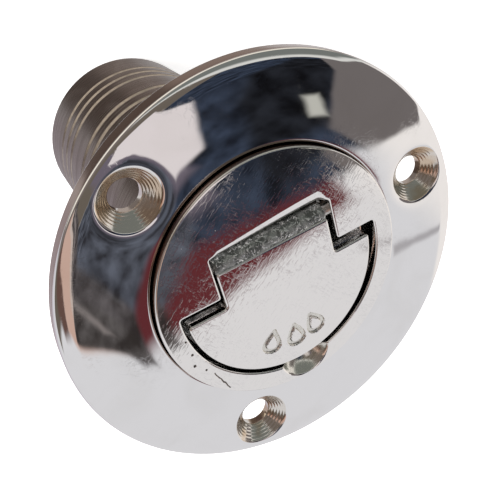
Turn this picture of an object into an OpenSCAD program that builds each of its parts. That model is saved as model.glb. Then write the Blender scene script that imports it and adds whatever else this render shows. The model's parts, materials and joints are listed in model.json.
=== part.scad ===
// Deck fill for a 50 mm hose: a screw-down flange with a ridged hose neck,
// and a keyless screw cap whose lift handle folds down into the cap's face.
// The origin is the centre of the flange's underside, where it meets the deck. +Z points out of the deck.

/* [Flange] */
// Outside diameter of the flange
flange_d = 90; // [89:0.5:92]
// Height of the crown of the flange above the deck
crown_h = 4.9; // [4.7:0.1:5.2]
// Diameter of the circle that the screw holes lie on
screw_circle_d = 73.5; // [72.5:0.5:74]
// Diameter of each screw hole
screw_hole_d = 6.4; // [6:0.1:6.6]
// Depth of each 90 degree countersink
countersink_h = 3.1; // [2.8:0.1:3.3]

/* [Neck] */
// Outside diameter of the hose neck
neck_d = 50; // [49:0.5:51]
// Bore of the hose neck
neck_bore_d = 44; // [43:0.5:44.5]
// Length of the neck below the deck
neck_l = 96; // [90:1:100]
// Outside diameter of the collar that holds the thread
collar_d = 60; // [58:1:61]
// Depth of the grooves between the neck's ridges
groove_h = 0.7; // [0.4:0.1:0.9]

/* [Cap] */
// Diameter of the cap's plate
cap_d = 54.1; // [53.8:0.1:54.3]
// Gap all round between the cap's plate and the flange
cap_gap = 0.5; // [0.4:0.1:0.8]
// Height of the cap's face above the deck, at its centre
cap_h = 6.9; // [6.7:0.1:7.1]
// Fall of the cap's face from its centre to its rim
cap_fall = 0.3; // [0.2:0.1:0.4]
// Angle that the closed cap has stopped at, from the +X axis to the handle's pin
cap_clock = -38.8; // [-180:0.1:180]

/* [Thread] */
// Pitch of the cap's thread
thread_pitch = 3.5; // [3.3:0.1:3.8]
// Turns of ridge on the cap and in the collar
thread_turns = 2.25; // [1.75:0.25:2.5]

/* [Handle] */
// Radius of the handle's half-round grip
grip_r = 21.3; // [20.8:0.1:21.6]
// Width of the tab that runs from the grip to the pin
tab_w = 25.5; // [24.5:0.5:26]
// Thickness of the handle's plate
handle_t = 3.3; // [3:0.1:3.4]
// Diameter of the hinge pin
pin_d = 3; // [2.5:0.1:3.2]
// Running clearance on the pin's radius
pin_play = 0.05; // [0.02:0.01:0.08]

/* [Hidden] */
$fn = 96;
eps = 0.01;

// Flange: its top is a very low crown, highest at crown_r, that ends in a rolled shoulder at the rim
flange_r = flange_d / 2;
screw_r = screw_hole_d / 2;
crown_r = 33;
crown_curve = 300;
shoulder_r = flange_r - 3.2;
shoulder_curve = 6;
crown_steps = 8;
shoulder_steps = 6;
mouth_r = cap_d / 2 + cap_gap;
screw_angles = [90, 210, 330];
function flange_top(r) =
    crown_h - pow(r - crown_r, 2) / (2 * crown_curve) - pow(max(0, r - shoulder_r), 2) / (2 * shoulder_curve);

// Neck and collar
neck_r = neck_d / 2;
bore_r = neck_bore_d / 2;
collar_r = collar_d / 2;
collar_h = 16;
collar_cone_h = 6;
end_chamfer = 1;
groove_places = [51.5, 57, 69.5, 75, 80.5];
groove_top_w = 1.8;
groove_floor_w = 0.6;

// Thread: a ridge on the cap's plug runs between the turns of a ridge in the collar
thread_bore_r = 24.6;
plug_r = 22.9;
ridge_h = 1.3;
ridge_root_w = 1.9;
ridge_tip_w = 0.9;
ridge_root_sink = 0.3;
ridge_steps_per_turn = 16;
ridge_gap_a = 2;
ridge_start_z = -11.6;
thread_floor_z = -14.5;
thread_runout_h = 2.6;

// Cap: plate, seal seat, plug and the hollow inside the plug
cap_r = cap_d / 2;
cap_bevel = 0.6;
cap_under_z = 0.8;
seat_z = -2.3;
root_r = 23.4;
root_bottom_z = -2.6;
plug_bottom_z = -13;
plug_chamfer = 0.7;
hollow_r = 19.5;
hollow_roof_z = -2;
hollow_corner = 2;
boss_r = 4.5;
boss_z = -6;
face_steps = 8;
function cap_top(r) = cap_h - cap_fall * pow(r / cap_r, 2);

// Handle pocket in the cap: a tab slot that opens into a half-round, with a thumb scoop at the rim
pocket_floor_z = 1.2;
pocket_r = 22.65;
pocket_tab_w = 27.2;
pocket_back_y = 11.3;
pocket_shoulder_y = 1.85;
scoop_y = -20.95;
scoop_r = 6.9;
scoop_z = 10.5;

// Handle: plate, shoulders and the barrel that the pin runs through. The handle sits handle_x along its pin,
// inside the tab slot's side play, and grip_y is the centre of its half-round.
pin_r = pin_d / 2;
pin_y = 7.8;
pin_z = 3.7;
barrel_r = 2.85;
barrel_play = 0.3;
handle_drop = 0.05;
handle_top_z = cap_h - handle_drop;
handle_back_y = 7.5;
grip_shoulder_y = -0.8;
handle_x = -0.4;
grip_y = -0.4;
pin_from_x = -18.5;
pin_to_x = 23.5;

// Seal and lanyard fittings under the cap
ring_section_r = 1.5;
tap_r = 2;
tap_depth = 5.5;
tab_play = 0.15;
tab_t = 1.2;
tab_hole_r = 2.2;
tab_ring_r = 5.5;
tab_ear_x = 6;
tab_ear_w = 7;
tab_ear_bottom_z = -14;
tab_eye_r = 1.6;
tab_eye_z = -10.6;
tab_top_z = boss_z - tab_play;
washer_top_z = tab_top_z - tab_t - tab_play;
washer_t = 0.8;
washer_r = 4.5;
screw_head_r = 3.8;
screw_head_h = 2.4;
screw_slot_w = 1;
screw_slot_h = 1.1;

// A ridge that climbs round the Z axis in short level steps, with a narrow gap between steps.
// Its root lies at base_r and its tip at crest_r.
module helix_ridge(base_r, crest_r, from_z) {
    step_a = 360 / ridge_steps_per_turn;
    for (i = [0 : round(thread_turns * ridge_steps_per_turn) - 1])
        translate([0, 0, from_z + thread_pitch * (i + 0.5) / ridge_steps_per_turn])
            rotate([0, 0, i * step_a])
                rotate_extrude(angle = step_a - ridge_gap_a)
                    polygon([[base_r, -ridge_root_w / 2], [crest_r, -ridge_tip_w / 2],
                             [crest_r, ridge_tip_w / 2], [base_r, ridge_root_w / 2]]);
}

// Half-section of the casting without its screw holes and thread ridge
module deck_body_section() {
    crown = [for (i = [0 : crown_steps - 1]) mouth_r + (shoulder_r - mouth_r) * i / crown_steps];
    shoulder = [for (i = [0 : shoulder_steps]) shoulder_r + (flange_r - shoulder_r) * i / shoulder_steps];
    top = [for (r = concat(crown, shoulder)) [r, flange_top(r)]];
    grooves = [for (z = groove_places)
               for (p = [[neck_r, groove_top_w / 2], [neck_r - groove_h, groove_floor_w / 2],
                         [neck_r - groove_h, -groove_floor_w / 2], [neck_r, -groove_top_w / 2]])
               [p[0], p[1] - z]];
    polygon(concat(
        top,
        [[flange_r, 0], [collar_r, 0], [collar_r, -collar_h], [neck_r, -collar_h - collar_cone_h]],
        grooves,
        [[neck_r, end_chamfer - neck_l], [neck_r - end_chamfer, -neck_l], [bore_r, -neck_l],
         [bore_r, thread_floor_z - thread_runout_h], [thread_bore_r, thread_floor_z],
         [thread_bore_r, seat_z], [mouth_r, seat_z]]));
}

module screw_hole() {
    translate([0, 0, -1])
        cylinder(r = screw_r, h = crown_h + 2);
    translate([0, 0, crown_h - countersink_h])
        cylinder(r1 = screw_r, r2 = screw_r + 2 * countersink_h, h = 2 * countersink_h);
}

// One casting: flange, thread collar and ridged hose neck
module deck_body() {
    color("#c9cace") {
        difference() {
            rotate_extrude()
                deck_body_section();
            for (a = screw_angles)
                rotate([0, 0, a])
                    translate([screw_circle_d / 2, 0, 0])
                        screw_hole();
        }
        helix_ridge(thread_bore_r + ridge_root_sink, thread_bore_r - ridge_h,
                    ridge_start_z - thread_pitch / 2);
    }
}

// Half-section of the cap without its pocket: domed plate, seal root, plug, hollow and centre boss
module cap_section() {
    face = [for (i = [0 : face_steps]) let (r = (cap_r - cap_bevel) * i / face_steps) [r, cap_top(r)]];
    polygon(concat(
        face,
        [[cap_r, cap_top(cap_r) - cap_bevel], [cap_r, cap_under_z], [root_r, cap_under_z],
         [root_r, root_bottom_z], [plug_r, root_bottom_z - 0.5],
         [plug_r, plug_bottom_z + plug_chamfer], [plug_r - plug_chamfer, plug_bottom_z],
         [hollow_r, plug_bottom_z], [hollow_r, hollow_roof_z - hollow_corner],
         [hollow_r - hollow_corner, hollow_roof_z], [boss_r, hollow_roof_z],
         [boss_r, boss_z], [0, boss_z]]));
}

// Outline of the pocket that the handle folds into
module pocket_outline() {
    translate([-pocket_tab_w / 2, 0])
        square([pocket_tab_w, pocket_back_y]);
    intersection() {
        circle(r = pocket_r);
        translate([-pocket_r, -pocket_r])
            square([2 * pocket_r, pocket_r + pocket_shoulder_y]);
    }
}

// The screw cap: plate, pocket, plug and thread
module cap_body() {
    color("#d4d5d8")
        rotate([0, 0, cap_clock])
            difference() {
                union() {
                    rotate_extrude()
                        cap_section();
                    rotate([0, 0, -cap_clock])
                        helix_ridge(plug_r - ridge_root_sink, plug_r + ridge_h, ridge_start_z);
                }
                translate([0, 0, pocket_floor_z])
                    linear_extrude(height = cap_h)
                        pocket_outline();
                translate([-pocket_tab_w / 2, pin_y, pin_z])
                    rotate([0, 90, 0])
                        cylinder(r = barrel_r + barrel_play, h = pocket_tab_w);
                translate([0, scoop_y, scoop_z])
                    sphere(r = scoop_r);
                translate([pin_from_x, pin_y, pin_z])
                    rotate([0, 90, 0])
                        cylinder(r = pin_r, h = cap_r - pin_from_x);
                translate([0, 0, boss_z - eps])
                    cylinder(r = tap_r, h = tap_depth + eps);
            }
}

// Outline of the handle, seen from above: a tab with shoulders and a half-round grip
module handle_outline() {
    translate([handle_x - tab_w / 2, grip_shoulder_y - 1])
        square([tab_w, handle_back_y - grip_shoulder_y + 1]);
    translate([handle_x, grip_y])
        intersection() {
            circle(r = grip_r);
            translate([-grip_r, -grip_r])
                square([2 * grip_r, grip_r + grip_shoulder_y - grip_y]);
        }
}

// The lift handle: a plate that follows the cap's face, with a barrel for the pin
module lift_handle() {
    face = [for (i = [0 : face_steps]) let (r = cap_r * i / face_steps) [r, cap_top(r) - handle_drop]];
    under_z = handle_top_z - handle_t;
    color("#dcdde0")
        rotate([0, 0, cap_clock])
            difference() {
                union() {
                    intersection() {
                        linear_extrude(height = cap_h + 1)
                            handle_outline();
                        rotate_extrude()
                            polygon(concat(face, [[cap_r, under_z], [0, under_z]]));
                    }
                    translate([handle_x - tab_w / 2, pin_y, pin_z])
                        rotate([0, 90, 0])
                            cylinder(r = barrel_r, h = tab_w);
                }
                translate([-tab_w, pin_y, pin_z])
                    rotate([0, 90, 0])
                        cylinder(r = pin_r + pin_play, h = 2 * tab_w);
            }
}

// The pin that the handle turns on, pushed in from the edge of the cap
module hinge_pin() {
    color("#9fa1a6")
        rotate([0, 0, cap_clock])
            translate([pin_from_x, pin_y, pin_z])
                rotate([0, 90, 0])
                    cylinder(r = pin_r, h = pin_to_x - pin_from_x);
}

// The rubber ring that seals the cap on the seat in the collar
module cap_o_ring() {
    color("#1b1b1d")
        rotate_extrude()
            translate([root_r + ring_section_r, cap_under_z - ring_section_r])
                circle(r = ring_section_r, $fn = 48);
}

// Slotted screw that holds the lanyard tab under the cap
module lanyard_screw() {
    head_top_z = washer_top_z - washer_t;
    shank_top_z = boss_z + tap_depth;
    color("#a9abb0")
        difference() {
            union() {
                translate([0, 0, head_top_z - screw_head_h])
                    cylinder(r = screw_head_r, h = screw_head_h);
                translate([0, 0, head_top_z - eps])
                    cylinder(r = tap_r, h = shank_top_z - head_top_z + eps);
            }
            translate([-screw_head_r - 1, -screw_slot_w / 2, head_top_z - screw_head_h - 1])
                cube([2 * screw_head_r + 2, screw_slot_w, screw_slot_h + 1]);
        }
}

module lanyard_washer() {
    color("#b4b6ba")
        translate([0, 0, washer_top_z - washer_t])
            difference() {
                cylinder(r = washer_r, h = washer_t);
                translate([0, 0, -1])
                    cylinder(r = tap_r + 0.1, h = washer_t + 2);
            }
}

// Swivel tab for the cap's lanyard: a ring round the screw and an ear with an eye, turned down
module lanyard_tab() {
    ear_h = tab_top_z - tab_ear_bottom_z;
    color("#b9bbc0")
        difference() {
            union() {
                translate([0, 0, tab_top_z - tab_t])
                    cylinder(r = tab_ring_r, h = tab_t);
                translate([0, -tab_ear_w / 2, tab_top_z - tab_t])
                    cube([tab_ear_x + tab_t, tab_ear_w, tab_t]);
                translate([tab_ear_x, -tab_ear_w / 2, tab_ear_bottom_z])
                    cube([tab_t, tab_ear_w, ear_h]);
            }
            translate([0, 0, tab_top_z - tab_t - 1])
                cylinder(r = tab_hole_r, h = tab_t + 2);
            translate([tab_ear_x - 1, 0, tab_eye_z])
                rotate([0, 90, 0])
                    cylinder(r = tab_eye_r, h = tab_t + 2);
        }
}

deck_body();
cap_body();
lift_handle();
hinge_pin();
cap_o_ring();
lanyard_screw();
lanyard_washer();
lanyard_tab();
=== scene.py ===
import json
import math

import bmesh
import bpy
import numpy as np
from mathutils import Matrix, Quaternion, Vector, geometry


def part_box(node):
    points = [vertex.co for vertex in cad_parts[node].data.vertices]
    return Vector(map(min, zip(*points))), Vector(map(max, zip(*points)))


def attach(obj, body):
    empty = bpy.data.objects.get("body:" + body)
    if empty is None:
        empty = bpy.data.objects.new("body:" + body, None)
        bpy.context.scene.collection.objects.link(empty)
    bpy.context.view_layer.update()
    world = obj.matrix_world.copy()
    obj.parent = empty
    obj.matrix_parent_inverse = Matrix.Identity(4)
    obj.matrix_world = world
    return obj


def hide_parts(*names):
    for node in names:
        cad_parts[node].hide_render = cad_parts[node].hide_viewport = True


# The finished look of a deck fill: a polished flange with a machined hose neck, a screw cap and its lift
# handle. Shapes are worked out in millimetres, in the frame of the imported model, and built in metres.

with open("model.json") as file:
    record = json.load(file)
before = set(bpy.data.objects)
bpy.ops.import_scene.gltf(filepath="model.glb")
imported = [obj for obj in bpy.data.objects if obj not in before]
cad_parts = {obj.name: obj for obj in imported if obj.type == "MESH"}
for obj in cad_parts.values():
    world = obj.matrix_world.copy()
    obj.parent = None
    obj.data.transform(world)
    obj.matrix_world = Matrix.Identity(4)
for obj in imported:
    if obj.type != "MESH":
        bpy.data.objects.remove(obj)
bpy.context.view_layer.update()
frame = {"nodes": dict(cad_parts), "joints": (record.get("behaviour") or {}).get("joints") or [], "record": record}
MM = 0.001

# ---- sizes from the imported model, millimetres

mounts = {m["name"]: m for m in frame["record"]["mounts"]}
joints = {j["name"]: j for j in frame["joints"]}


def box_mm(node):
    """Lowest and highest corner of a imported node, in millimetres."""
    low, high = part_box(node)
    return np.array(low) / MM, np.array(high) / MM


deck_low, deck_high = box_mm("deck_body")
cap_low, cap_high = box_mm("cap_body")
handle_high = box_mm("lift_handle")[1]

FLANGE_R = deck_high[0]
NECK_END_Z = deck_low[2]
SCREW_CIRCLE_R = mounts["screw_holes"]["dims"]["pcd_mm"] / 2
SCREW_R = mounts["screw_holes"]["dims"]["hole_r_mm"]
NECK_R = mounts["hose_tail"]["dims"]["r_mm"]
CAP_R = cap_high[0]
PLUG_END_Z = cap_low[2]
PIN_Z = joints["handle_lift"]["pos_m"][2] / MM
PIN_XY = np.array(joints["handle_lift"]["pos_m"][:2]) / MM
CAP_X = -np.array(joints["handle_lift"]["axis"][:2])
CAP_X = CAP_X / np.linalg.norm(CAP_X)
CAP_Y = np.array([-CAP_X[1], CAP_X[0]])
PIN_Y = float(PIN_XY @ CAP_Y)

# ---- sizes of the finished shapes, millimetres

# Flange: a very low crown that ends in a rolled shoulder
CROWN_H = deck_high[2]
CROWN_R = 33
CROWN_CURVE = 300
SHOULDER_W = 3.2
SHOULDER_CURVE = 6
MOUTH_R = CAP_R + 0.28
LIP_ROUND = 0.4
RIM_ROUND = 0.45
SCREW_ANGLES = (90, 210, 330)
SINK_H = 3.1
SINK_ROUND = 0.4
SINK_LOOP_R = 7.1
DISH_H = 0.1
DISH_W = 1.3
TURN_PITCH = 0.5
TURN_H = 0.022

# Collar and neck
COLLAR_R = 30
COLLAR_END_Z = -16
CONE_END_Z = -22
BORE_R = 22
SEAT_Z = -2.3
THREAD_BORE_R = 24.6
THREAD_FLOOR_Z = -14.5
THREAD_RUNOUT_Z = -17.1
GROOVES_Z = (-51.5, -57, -69.5, -75, -80.5)
GROOVE_W = 1.8
GROOVE_H = 0.7

# Thread ridges of the collar and the plug
PITCH = 3.5
TURNS = 2.25
RIDGE_H = 1.3
RIDGE_ROOT_W = 1.9
RIDGE_TIP_W = 0.9
RIDGE_START_Z = -11.6

# Cap: plate, pocket, thumb scoop and plug
CAP_H = handle_high[2] + 0.05
CAP_FALL = 0.26
CAP_EDGE = 0.35
CAP_UNDER_Z = 0.8
ROOT_R = 23.4
ROOT_END_Z = -2.6
PLUG_R = 22.9
HOLLOW_R = 19.5
HOLLOW_ROOF_Z = -2
BOSS_R = 4.5
BOSS_Z = -6
TAP_R = 2
TAP_DEPTH = 5.5
POCKET_R = 22.65
POCKET_TAB_W = 27.2
POCKET_BACK_Y = 11.3
POCKET_SHOULDER_Y = 1.85
POCKET_FLOOR_Z = 1.2
POCKET_EDGE = 0.35
BACK_EDGE = 3
SCOOP_Y = -20.95
SCOOP_R = 6.9
SCOOP_Z = 10.5

# Handle
GRIP_R = 21.3
GRIP_Y = -0.4
HANDLE_X = -0.4
TAB_W = 25.5
HANDLE_BACK_Y = 7.5
GRIP_SHOULDER_Y = -0.8
HANDLE_T = 3.3
HANDLE_EDGE = 0.4
BARREL_R = 2.85
PIN_R = 1.5
PIN_PLAY = 0.05

# Three drops cut in the grip, in a row round the handle's middle
MARK_R = 15.2
MARK_ANGLES = (246, 267, 285)
MARK_H = 4.8
MARK_STROKE = 0.45
MARK_DEPTH = 0.45
MARK_SLOPE = 0.22

# Steps round a full circle
ROUND_STEPS = 480
SINK_STEPS = 192

# Spacing of the points inside the polished faces, and near the scoop and the marks
FACE_SPACING = 0.8
SCOOP_SPACING = 0.3
MARK_SPACING = 0.13


# ---- heights of the polished faces

def polar(r, angles):
    """Points at radius r and the given angles, one row each."""
    return np.stack([r * np.cos(angles), r * np.sin(angles)], axis=-1)


def smooth_min(a, b, blend):
    """The lower of two heights, with their crease rounded over the blend."""
    near = np.maximum(blend - np.abs(a - b), 0) / blend
    return np.minimum(a, b) - near * near * blend / 4


def edge_drop(inset, radius):
    """How far a rounded edge falls at a distance of inset from the wall."""
    reach = np.clip(radius - inset, 0, radius)
    return radius - np.sqrt(radius * radius - reach * reach)


def crown_height(r):
    fall = (r - CROWN_R) ** 2 / (2 * CROWN_CURVE)
    shoulder = np.maximum(0, r - FLANGE_R + SHOULDER_W) ** 2 / (2 * SHOULDER_CURVE)
    return CROWN_H - fall - shoulder


hole_centres = polar(SCREW_CIRCLE_R, np.radians(SCREW_ANGLES))


def flange_height(xy):
    """Height of the flange's top, with its rolled edges and its countersinks."""
    r = np.hypot(xy[:, 0], xy[:, 1])
    top = crown_height(r) - edge_drop(FLANGE_R - r, RIM_ROUND) - edge_drop(r - MOUTH_R, LIP_ROUND)
    rho = np.min(np.linalg.norm(xy[:, None, :] - hole_centres[None], axis=2), axis=1)
    sink_r = SCREW_R + SINK_H
    top = top - DISH_H * np.exp(-np.maximum(rho - sink_r, 0) / DISH_W)
    cone = CROWN_H - SINK_H + rho - SCREW_R
    return smooth_min(top, cone, SINK_ROUND)


def cap_face_height(xy):
    """Height of the cap's domed face, in the cap's own axes, with its rounded rim and thumb scoop."""
    r = np.hypot(xy[:, 0], xy[:, 1])
    face = CAP_H - CAP_FALL * (r / CAP_R) ** 2 - edge_drop(CAP_R - r, CAP_EDGE)
    rho = np.minimum(np.hypot(xy[:, 0], xy[:, 1] - SCOOP_Y), SCOOP_R)
    scoop = SCOOP_Z - np.sqrt(SCOOP_R ** 2 - rho ** 2)
    return smooth_min(face, scoop, 0.35)


# ---- mesh building

class Shell:
    """Collects the rings and faces of one closed mesh. Points are in millimetres."""

    def __init__(self):
        self.points = []
        self.faces = []
        self.finishes = []

    def ring(self, points):
        """Adds a closed ring of points and returns their numbers."""
        first = len(self.points)
        self.points.extend(tuple(map(float, p)) for p in points)
        return list(range(first, len(self.points)))

    def bridge(self, a, b, finish=0):
        """Joins two rings of the same length with quads."""
        n = len(a)
        for i in range(n):
            j = (i + 1) % n
            self.faces.append((a[i], a[j], b[j], b[i]))
            self.finishes.append(finish)

    def loft(self, rings, finish=0):
        """Adds rings of points, joins each to the next, and returns the first and the last."""
        numbers = [self.ring(r) for r in rings]
        for a, b in zip(numbers, numbers[1:]):
            self.bridge(a, b, finish)
        return numbers[0], numbers[-1]

    def disc(self, ring, finish=0):
        """Closes a ring with one face."""
        self.faces.append(tuple(ring))
        self.finishes.append(finish)

    def fill(self, loops, inner, height, finish=0):
        """Triangulates the area between the loops, through the inner points, at the height given."""
        numbers = [i for loop in loops for i in loop]
        inner = np.asarray(inner, float).reshape(-1, 2)
        if len(inner):
            numbers += self.ring(np.column_stack([inner, height(inner)]))
        flat = [Vector(self.points[i][:2]) for i in numbers]
        edges = []
        first = 0
        for loop in loops:
            n = len(loop)
            edges += [(first + k, first + (k + 1) % n) for k in range(n)]
            first += n
        found = geometry.delaunay_2d_cdt(flat, edges, [], 0, 1e-6)
        sources = [s[0] for s in found[3]]
        triangles = np.array([[sources[i] for i in f] for f in found[2]])
        places = np.array([p[:] for p in flat])
        middles = places[triangles].mean(axis=1)
        inside = np.zeros(len(middles), bool)
        first = 0
        for loop in loops:
            inside ^= inside_loop(middles, places[first:first + len(loop)])
            first += len(loop)
        for t in triangles[inside]:
            self.faces.append(tuple(numbers[i] for i in t))
            self.finishes.append(finish)

    def refinish(self, chosen, finish):
        """Gives a finish to every face that chosen picks by its middle and the middle's radius."""
        middles = np.array([np.mean([self.points[i] for i in f], axis=0) for f in self.faces])
        for k in np.flatnonzero(chosen(middles, np.hypot(middles[:, 0], middles[:, 1]))):
            self.finishes[k] = finish

    def build(self, name, materials):
        """Makes the Blender object, facing outwards and smooth except across sharp edges."""
        points = np.array(self.points)
        mesh = bpy.data.meshes.new(name)
        mesh.from_pydata((points * MM).tolist(), [], self.faces)
        for material in materials:
            mesh.materials.append(material)
        mesh.polygons.foreach_set("material_index", self.finishes)
        finish_mesh(mesh)
        return add_object(name, mesh)


def finish_mesh(mesh, sharp=math.radians(42)):
    """Drops loose points, turns the faces outwards and shades them smooth up to the sharp angle."""
    work = bmesh.new()
    work.from_mesh(mesh)
    loose = [v for v in work.verts if not v.link_faces]
    bmesh.ops.delete(work, geom=loose, context="VERTS")
    bmesh.ops.recalc_face_normals(work, faces=work.faces)
    open_edges = sum(1 for e in work.edges if len(e.link_faces) != 2)
    if open_edges:
        print("OPEN EDGES", mesh.name, open_edges)
    work.to_mesh(mesh)
    work.free()
    mesh.shade_smooth()
    mesh.set_sharp_from_angle(angle=sharp)


def inside_loop(points, loop):
    """Which points lie inside a closed loop, by the even-odd rule."""
    x, y = points[:, 0:1], points[:, 1:2]
    ax, ay = loop[:, 0], loop[:, 1]
    bx, by = np.roll(ax, -1), np.roll(ay, -1)
    crosses = (ay > y) != (by > y)
    run = np.where(by == ay, 1, by - ay)
    at = ax + (y - ay) * (bx - ax) / run
    return (np.sum(crosses & (x < at), axis=1) % 2) == 1


def steps(count):
    """Angles of the given number of even steps round a circle."""
    return np.arange(count) * 2 * math.pi / count


def circle(r, z, count=ROUND_STEPS, centre=(0, 0)):
    """A ring of points round a vertical axis."""
    xy = polar(r, steps(count)) + np.asarray(centre)
    return np.column_stack([xy, np.full(count, float(z))])


def height_ring(r, height):
    """A ring of points round the Z axis, on the face whose height is given."""
    xy = polar(r, steps(ROUND_STEPS))
    return np.column_stack([xy, height(xy)])


def turned_rings(profile, count=ROUND_STEPS):
    """Rings for a profile of (r, z) points turned round the Z axis."""
    return [circle(r, z, count) for r, z in profile]


def rounded(corners, segments=5, hold=0.04):
    """A profile through corners of (r, z, radius), with each corner rounded and held by a close point."""
    points = []
    count = len(corners)
    for i, corner in enumerate(corners):
        here = np.array(corner[:2], float)
        radius = corner[2] if len(corner) > 2 else 0
        if i in (0, count - 1) or radius == 0:
            points.append(here)
            continue
        before = np.array(corners[i - 1][:2], float) - here
        after = np.array(corners[i + 1][:2], float) - here
        len_before, len_after = np.linalg.norm(before), np.linalg.norm(after)
        u, v = before / len_before, after / len_after
        half = math.acos(np.clip(u @ v, -1, 1)) / 2
        cut = min(radius / math.tan(half), 0.45 * len_before, 0.45 * len_after)
        radius = cut * math.tan(half)
        middle = here + (u + v) / np.linalg.norm(u + v) * radius / math.sin(half)
        start, end = here + u * cut, here + v * cut
        if hold < 0.4 * (len_before - cut):
            points.append(start + u * hold)
        a = start - middle
        b = end - middle
        sweep = math.pi - 2 * half
        for k in range(segments + 1):
            t = k / segments
            spoke = a * math.sin((1 - t) * sweep) + b * math.sin(t * sweep)
            points.append(middle + spoke / math.sin(sweep))
        if hold < 0.4 * (len_after - cut):
            points.append(end + v * hold)
    return points


def outline(corners, spacing=0.3):
    """A closed outline through corners of (x, y, radius, bulge_centre), anticlockwise.

    A corner is rounded to its radius. Where a fourth value gives a centre, the side that leaves that
    corner is an arc round it. Returns the points and their outward normals.
    """
    points = []
    count = len(corners)
    for i in range(count):
        a, b = corners[i], corners[(i + 1) % count]
        start, end = np.array(a[:2], float), np.array(b[:2], float)
        if len(a) > 3:
            centre = np.array(a[3], float)
            r = np.linalg.norm(start - centre)
            from_a = math.atan2(*(start - centre)[::-1])
            to_a = math.atan2(*(end - centre)[::-1])
            to_a += 2 * math.pi if to_a < from_a else 0
            n = int((to_a - from_a) * r / spacing)
            side = centre + polar(r, np.linspace(from_a, to_a, n + 1))
        else:
            n = max(2, int(np.linalg.norm(end - start) / spacing))
            side = start + (end - start) * np.linspace(0, 1, n + 1)[:, None]
        points.append(side[:-1])
    path = np.concatenate(points)
    for corner in corners:
        path = round_corner(path, np.array(corner[:2], float), corner[2])
    forward = np.roll(path, -1, axis=0) - path
    forward /= np.linalg.norm(forward, axis=1)[:, None]
    tangent = forward + np.roll(forward, 1, axis=0)
    tangent /= np.linalg.norm(tangent, axis=1)[:, None]
    return path, np.column_stack([tangent[:, 1], -tangent[:, 0]])


def round_corner(path, corner, radius, segments=6):
    """Replaces the part of a closed path within reach of a corner by a smooth curve."""
    if radius == 0:
        return path
    at = int(np.argmin(np.linalg.norm(path - corner, axis=1)))
    path = np.roll(path, len(path) // 2 - at, axis=0)
    far = np.linalg.norm(path - corner, axis=1) > radius
    middle = len(path) // 2
    low = middle
    while not far[low]:
        low -= 1
    high = middle
    while not far[high]:
        high += 1
    before, after = path[low] - corner, path[high] - corner
    start = corner + before / np.linalg.norm(before) * radius
    end = corner + after / np.linalg.norm(after) * radius
    t = np.linspace(0, 1, segments + 1)[:, None]
    curve = (1 - t) ** 2 * start + 2 * t * (1 - t) * corner + t ** 2 * end
    keep_low = path[:low + 1] if np.linalg.norm(before) > radius * 1.25 else path[:low]
    keep_high = path[high:] if np.linalg.norm(after) > radius * 1.25 else path[high + 1:]
    return np.concatenate([keep_low, curve, keep_high])


def thread_reach(angles, z, start_z):
    """How far a thread's ridge stands out, from 0 to 1, at the angles given and at height z."""
    out = np.zeros(len(angles))
    ease = math.radians(25)
    for k in range(int(TURNS) + 1):
        along = angles + 2 * math.pi * k
        middle = start_z + PITCH * along / (2 * math.pi)
        flank = (RIDGE_ROOT_W / 2 - np.abs(z - middle)) / ((RIDGE_ROOT_W - RIDGE_TIP_W) / 2)
        end = np.clip(np.minimum(along, TURNS * 2 * math.pi - along) / ease, 0, 1)
        out = np.maximum(out, np.clip(flank, 0, 1) * end)
    return out * out * (3 - 2 * out)


def thread_rings(base_r, ridge, from_z, to_z, start_z, clock=0.0, rise=0.16):
    """Rings down a threaded wall. ridge is positive outwards and negative inwards.

    clock is the angle of the rings' own X axis in the row, where every thread starts at zero.
    """
    count = int(abs(to_z - from_z) / rise)
    angles = steps(ROUND_STEPS)
    row_angles = (angles + clock) % (2 * math.pi)
    rings = []
    for z in np.linspace(from_z, to_z, count + 1):
        r = base_r + ridge * thread_reach(row_angles, z, start_z)
        rings.append(np.column_stack([polar(1, angles) * r[:, None], np.full(ROUND_STEPS, z)]))
    return rings


def cap_to_row(points):
    """Turns points from the cap's own axes into the row's."""
    points = np.asarray(points, float)
    turned = points[:, :1] * CAP_X + points[:, 1:2] * CAP_Y
    return np.column_stack([turned, points[:, 2]])


# ---- materials

class Graph:
    """Short ways to add nodes to a tree."""

    def __init__(self, tree):
        self.nodes, self.links = tree.nodes, tree.links

    def feed(self, node, settings):
        """Sets each socket named or numbered, or links it where its setting is another node's output."""
        for key, value in settings:
            if isinstance(value, bpy.types.NodeSocket):
                self.links.new(value, node.inputs[key])
            else:
                node.inputs[key].default_value = value

    def math(self, operation, *values):
        node = self.nodes.new("ShaderNodeMath")
        node.operation = operation
        self.feed(node, enumerate(values))
        return node.outputs[0]

    def range(self, value, low, high, to_low=0.0, to_high=1.0, kind="SMOOTHSTEP"):
        """Maps low..high to to_low..to_high, smoothly unless kind says otherwise, and holds the ends."""
        node = self.nodes.new("ShaderNodeMapRange")
        node.interpolation_type = kind
        self.feed(node, (("Value", value), ("From Min", low), ("From Max", high),
                         ("To Min", to_low), ("To Max", to_high)))
        return node.outputs["Result"]

    def mix(self, share, under, over):
        """Lays one colour over another."""
        node = self.nodes.new("ShaderNodeMix")
        node.data_type = "RGBA"
        self.feed(node, (("Factor", share), ("A", under), ("B", over)))
        return node.outputs["Result"]

    def split(self, kind, value):
        """The parts of a vector or a colour."""
        node = self.nodes.new(kind)
        self.links.new(value, node.inputs[0])
        return node.outputs


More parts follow.
